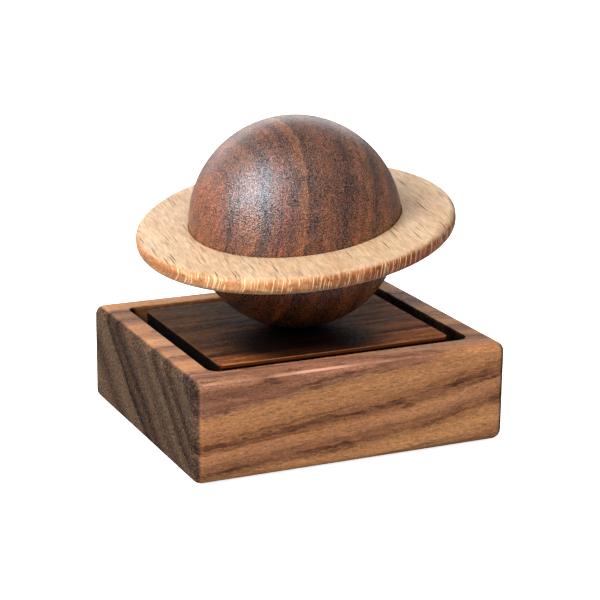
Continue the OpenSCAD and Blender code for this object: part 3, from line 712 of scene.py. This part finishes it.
def rounded_rect(size, corner, z, inset=0.0, corner_steps=12, x_steps=30, y_steps=26):
    """Closed loop of points, anticlockwise from the +X side, shrunk by inset all round."""
    half_x, half_y = (side / 2 - inset for side in size)
    radius = corner - inset
    cx, cy = half_x - radius, half_y - radius
    # straight: start, end, steps; then the corner after it: centre, first angle
    sides = (((half_x, -cy), (half_x, cy), y_steps, (cx, cy), 0),
             ((cx, half_y), (-cx, half_y), x_steps, (-cx, cy), 90),
             ((-half_x, cy), (-half_x, -cy), y_steps, (-cx, -cy), 180),
             ((-cx, -half_y), (cx, -half_y), x_steps, (cx, -cy), 270))
    points = []
    for start, end, steps, centre, first_angle in sides:
        for i in range(steps):
            t = i / steps
            points.append((start[0] + (end[0] - start[0]) * t,
                           start[1] + (end[1] - start[1]) * t, z))
        for i in range(corner_steps):
            angle = math.radians(first_angle + 90 * i / corner_steps)
            points.append((centre[0] + radius * math.cos(angle),
                           centre[1] + radius * math.sin(angle), z))
    return points


def rounded_top(size, corner, top, radius, steps):
    """Loops that round over an upper outside edge."""
    return [rounded_rect(size, corner, top - radius * (1 - sine), inset=radius * (1 - cosine))
            for sine, cosine in quarter_turn(steps)]


def loft(loops):
    """Skin through the loops, closed with a face at each end."""
    bm = bmesh.new()
    rings = [[bm.verts.new(Vector(point) * MM) for point in loop] for loop in loops]
    count = len(rings[0])
    for ring, following in zip(rings, rings[1:]):
        for i in range(count):
            j = (i + 1) % count
            bm.faces.new((ring[i], ring[j], following[j], following[i]))
    bm.faces.new(list(reversed(rings[0])))
    bm.faces.new(rings[-1])
    return bm


def lathe(bm, profile, segments, matrix, closed=False):
    """Turns (radius, z) points about Z. A radius of 0 gives one shared point."""
    def vertex(x, y, z):
        return bm.verts.new((matrix @ Vector((x, y, z))) * MM)

    poles = {k: vertex(0, 0, z) for k, (radius, z) in enumerate(profile) if radius < 1e-9}
    columns = []
    for i in range(segments):
        angle = 2 * math.pi * i / segments
        columns.append([
            poles[k] if k in poles
            else vertex(radius * math.cos(angle), radius * math.sin(angle), z)
            for k, (radius, z) in enumerate(profile)])
    count = len(profile)
    for i in range(segments):
        column, following = columns[i], columns[(i + 1) % segments]
        for k in range(count if closed else count - 1):
            after = (k + 1) % count
            corners = []
            for vert in (column[k], following[k], following[after], column[after]):
                if vert not in corners:
                    corners.append(vert)
            if len(corners) >= 3:
                bm.faces.new(corners)


def add_object(name, bm, solid=True):
    if solid:
        bmesh.ops.recalc_face_normals(bm, faces=bm.faces)
    mesh = bpy.data.meshes.new(name)
    bm.to_mesh(mesh)
    bm.free()
    made = bpy.data.objects.new(name, mesh)
    scene.collection.objects.link(made)
    return made


def smooth(mesh, sharp_angle=35):
    mesh.shade_smooth()
    mesh.set_sharp_from_angle(angle=math.radians(sharp_angle))


def add_piece(name, bm, material, body, replaces, sharp_angle=35):
    piece = add_object(name, bm)
    piece.data.materials.append(material)
    smooth(piece.data, sharp_angle)
    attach(piece, body)
    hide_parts(replaces)
    return piece


def drill(piece, holes):
    """Subtracts upright cylinders (x, y, bottom, top, radius) from a piece."""
    bm = bmesh.new()
    for x, y, bottom, top, radius in holes:
        lathe(bm, [(0, bottom), (radius, bottom), (radius, top), (0, top)], 48,
              Matrix.Translation((x, y, 0)))
    cutter = add_object("cutter", bm)
    modifier = piece.modifiers.new("cut", "BOOLEAN")
    modifier.operation = "DIFFERENCE"
    modifier.solver = "EXACT"
    modifier.object = cutter
    bpy.context.view_layer.update()
    evaluated = piece.evaluated_get(bpy.context.evaluated_depsgraph_get())
    mesh = bpy.data.meshes.new_from_object(evaluated)
    piece.modifiers.clear()
    piece.data = mesh
    bpy.data.objects.remove(cutter)
    smooth(mesh)


# ------------------------------------------------------------------ pieces
def sand_block(bm):
    """Lets the outside wander inwards a little, as if sanded by hand."""
    half_x, half_y = (side / 2 for side in BLOCK_SIZE)
    for vert in bm.verts:
        x, y, z = vert.co / MM
        outward = max(abs(x) / half_x, abs(y) / half_y)
        if z <= BLOCK_BOTTOM + 0.5 or outward <= 0.93:
            continue
        amount = noise.noise(Vector((x * 0.07, y * 0.07, z * 0.11))) * 0.5 + 0.5
        if abs(x) > half_x - 4:
            vert.co.x -= math.copysign(SANDING * amount * MM, x)
        if abs(y) > half_y - 4:
            vert.co.y -= math.copysign(SANDING * amount * MM, y)


def build_block(material):
    loops = [rounded_rect(BLOCK_SIZE, BLOCK_CORNER, BLOCK_BOTTOM + BLOCK_EDGE * (1 - cosine),
                          inset=BLOCK_EDGE * (1 - sine))
             for sine, cosine in quarter_turn(10)]
    straight = BLOCK_TOP - BLOCK_BOTTOM - 2 * BLOCK_EDGE
    loops += [rounded_rect(BLOCK_SIZE, BLOCK_CORNER, BLOCK_BOTTOM + BLOCK_EDGE + straight * k / 9)
              for k in range(1, 9)]
    loops += rounded_top(BLOCK_SIZE, BLOCK_CORNER, BLOCK_TOP, BLOCK_EDGE, steps=10)

    # flat rim, from the rounded outer edge in to the pocket's mouth
    outer = [side - 2 * BLOCK_EDGE for side in BLOCK_SIZE]
    mouth = [side + 2 * POCKET_ARRIS for side in POCKET_SIZE]
    outer_corner = BLOCK_CORNER - BLOCK_EDGE
    mouth_corner = POCKET_CORNER + POCKET_ARRIS
    for t in (0.25, 0.5, 0.75):
        size = [a + (b - a) * t for a, b in zip(outer, mouth)]
        corner = outer_corner + (mouth_corner - outer_corner) * t
        loops.append(rounded_rect(size, corner, BLOCK_TOP))
    loops += [rounded_rect(mouth, mouth_corner, BLOCK_TOP - POCKET_ARRIS * (1 - cosine),
                           inset=POCKET_ARRIS * sine)
              for sine, cosine in quarter_turn(4)]
    loops += [rounded_rect(POCKET_SIZE, POCKET_CORNER, z)
              for z in (BLOCK_TOP - 4, BLOCK_TOP - 10, BLOCK_TOP - 18, POCKET_FLOOR)]
    bm = loft(loops)
    sand_block(bm)
    block = add_piece("walnut_base_block", bm, material, "base", "base_block")
    # a hole under each post, through the pocket floor, then its wider lower end
    drill(block, [(x, y, 0.2, POCKET_FLOOR + 1, 1.3) for x, y in POSTS])
    drill(block, [(x, y, 0.2, 2.8, 3.0) for x, y in POSTS])


def build_plate(material):
    loops = [rounded_rect(PLATE_SIZE, PLATE_CORNER, z)
             for z in (PLATE_BOTTOM, PLATE_BOTTOM + 1.5, PLATE_BOTTOM + 3, PLATE_TOP - 1.2)]
    loops += rounded_top(PLATE_SIZE, PLATE_CORNER, PLATE_TOP, PLATE_ARRIS, steps=5)
    plate = add_piece("walnut_top_plate", loft(loops), material, "base",
                      "top_plate")
    below, above = PLATE_BOTTOM - 1, PLATE_TOP + 1
    holes = [(0, 0, below, above, 3.5)]
    holes += [(x, y, below, PLATE_BOTTOM + 2.5, POST_SOCKET_R) for x, y in POSTS]
    holes += [(x, y, below, PLATE_BOTTOM + 4.2, 0.95) for x, y in NARROW_HOLES]
    drill(plate, holes)
    # shallow counterbore round the centre hole
    drill(plate, [(0, 0, PLATE_TOP - 1, above, 5.0)])


def build_ball(material):
    foot = BALL_FOOT - BALL_CENTRE.z
    foot_angle = math.degrees(math.asin(foot / BALL_R))
    steps = 120
    # stepped bore from its top down to the foot, then the sphere up to the pole
    profile = [(0.0, foot + BORE_TOP), (BORE_TIP_R, foot + BORE_TOP),
               (BORE_TIP_R, foot + BORE_DEPTH), (BORE_R, foot + BORE_DEPTH),
               (BORE_R, foot + 0.15), (BORE_R + 0.2, foot),
               (BALL_R * math.cos(math.radians(foot_angle)), foot)]
    for i in range(1, steps):
        angle = math.radians(foot_angle + (90 - foot_angle) * i / steps)
        profile.append((BALL_R * math.cos(angle), BALL_R * math.sin(angle)))
    profile.append((0.0, BALL_R))
    bm = bmesh.new()
    lathe(bm, profile, 256, Matrix.Translation(BALL_CENTRE))
    add_piece("walnut_planet_ball", bm, material, "planet", "planet_ball")


def build_ring(material):
    half = RING_THICK / 2
    inner = RING_INNER_R
    edge_r = RING_R - RING_EDGE
    edge_z = half - RING_EDGE
    profile = [(inner, -half + 0.3), (inner + 0.12, -half + 0.08), (inner + 0.3, -half)]
    profile += [(inner + (edge_r - inner) * t, -half) for t in (0.25, 0.5, 0.75)]
    profile += [(edge_r + RING_EDGE * sine, -edge_z - RING_EDGE * cosine)
                for sine, cosine in quarter_turn(10)]
    profile += [(edge_r + RING_EDGE * cosine, edge_z + RING_EDGE * sine)
                for sine, cosine in quarter_turn(10)]
    profile += [(inner + (edge_r - inner) * t, half) for t in (0.75, 0.5, 0.25)]
    profile += [(inner + 0.3, half), (inner + 0.12, half - 0.08), (inner, half - 0.3),
                (inner, 0.0)]
    bm = bmesh.new()
    lathe(bm, profile, 288, RING_MATRIX, closed=True)
    add_piece("beech_planet_ring", bm, material, "planet", "planet_ring")


def build_felt(material):
    width, depth = FELT_SIZE
    # trim off the full width and depth, corner radius, z
    levels = ((1.0, 2.5, 0.0), (0.3, 2.8, 0.12), (0.0, 3.0, 0.35), (0.2, 2.9, FELT_TOP))
    bm = loft([rounded_rect((width - trim, depth - trim), corner, z,
                            corner_steps=6, x_steps=60, y_steps=50)
               for trim, corner, z in levels])
    random.seed(7)  # fixed seed for any random draw from here on
    # ragged edge between the two faces
    for vert in bm.verts:
        x, y, z = vert.co / MM
        if 0.05 < z < FELT_TOP - 0.05:
            ragged = noise.noise(Vector((x * 1.3, y * 1.3, z * 3)))
            outward = Vector((x / width, y / depth, 0)).normalized()
            vert.co -= outward * (0.10 + 0.10 * ragged) * MM
    add_piece("felt_base_sheet", bm, material, "base", "felt_sheet", sharp_angle=60)


# ------------------------------------------------------------------ floor, light, camera
def build_floor():
    """Pale floor, lit up for the camera but dim grey in bounced light."""
    half, z = 3.0, -0.00002      # metres
    bm = bmesh.new()
    bm.faces.new([bm.verts.new((x * half, y * half, z))
                  for x, y in ((-1, -1), (1, -1), (1, 1), (-1, 1))])
    floor = add_object("floor", bm, solid=False)
    mat = Mat("floor_pale")
    cloud = mat.noise(mat.position, scale=0.02, detail=3.0)
    camera_ray = mat.node("LightPath").outputs["Is Camera Ray"]
    pale = mat.mix(cloud, (0.90, 0.90, 0.90), (0.93, 0.93, 0.93))
    floor.data.materials.append(mat.finish(
        Base_Color=mat.mix(camera_ray, (0.35, 0.35, 0.35), pale), Roughness=0.85,
        Specular_IOR_Level=0.1, Emission_Color=(1, 1, 1),
        Emission_Strength=mat.mul(camera_ray, 0.88)))


def build_world():
    """White surroundings: bright to the camera, soft and stronger overhead as light."""
    world = bpy.data.worlds.new("studio")
    scene.world = world
    world.use_nodes = True
    sky = Nodes(world.node_tree)
    direction = sky.node("TexCoord").outputs["Generated"]
    height = sky.node("SeparateXYZ", {0: direction}).outputs[2]
    glow = sky.node("MapRange", {"From Min": 0.0, "From Max": 0.9, "To Min": 0.26,
                                 "To Max": 0.40, "Value": height}).outputs[0]
    camera_ray = sky.node("LightPath").outputs["Is Camera Ray"]
    strength = sky.node("Mix", {0: camera_ray, 2: glow, 3: 1.1}, data_type="FLOAT").outputs[0]
    background = world.node_tree.nodes["Background"]
    sky.feed(background.inputs[0], (1.0, 1.0, 1.0))
    sky.feed(background.inputs[1], strength)


def area_light(name, direction, distance, size, power):
    """Rectangle light aimed at the model; metres and watts."""
    light = bpy.data.lights.new(name, "AREA")
    light.shape = "RECTANGLE"
    light.size, light.size_y = size
    light.energy = power
    lamp = bpy.data.objects.new(name, light)
    toward = Vector(direction).normalized()
    lamp.location = Vector((0, 0, 0.045)) + toward * distance
    lamp.rotation_euler = (-toward).to_track_quat("-Z", "Y").to_euler()
    scene.collection.objects.link(lamp)
    return lamp


def build_lights():
    area_light("key", direction=(-0.765, -0.14, 0.63), distance=0.9, size=(0.34, 0.48),
               power=12.5)
    front = area_light("front", direction=(-0.06, -0.70, 0.71), distance=1.1,
                       size=(0.6, 0.35), power=9.9)
    front.visible_glossy = False
    area_light("back", direction=(0.15, 0.92, 0.30), distance=1.1, size=(1.4, 0.42), power=4.2)


def build_camera():
    azimuth, elevation, roll = (math.radians(a) for a in (-24.883, 16.114, 0.668))
    distance = 581.637
    shift_right, shift_up = 1.698, -1.413
    aim = Vector((0, 0, 40))
    back = Vector((math.sin(azimuth) * math.cos(elevation),
                   -math.cos(azimuth) * math.cos(elevation), math.sin(elevation)))
    level_right = (-back).cross(Vector((0, 0, 1))).normalized()
    level_up = level_right.cross(-back).normalized()
    right = level_right * math.cos(roll) + level_up * math.sin(roll)
    up = -level_right * math.sin(roll) + level_up * math.cos(roll)
    lens = bpy.data.cameras.new("camera")
    lens.sensor_width = 36.0
    lens.lens = 114.4347
    lens.clip_start = 0.01       # metres
    camera = bpy.data.objects.new("camera", lens)
    pose = Matrix((right, up, back)).transposed().to_4x4()
    pose.translation = (aim + right * shift_right + up * shift_up + back * distance) * MM
    camera.matrix_world = pose
    scene.collection.objects.link(camera)
    scene.camera = camera


# ------------------------------------------------------------------ build
materials = make_materials()
build_block(materials["walnut_block"])
build_plate(materials["walnut_plate"])
build_ball(materials["walnut_ball"])
build_ring(materials["beech_ring"])
build_felt(materials["felt"])
finish_cad_pieces(materials)
build_floor()
build_world()
build_lights()
build_camera()
scene.view_settings.view_transform = "Standard"
scene.view_settings.look = "None"
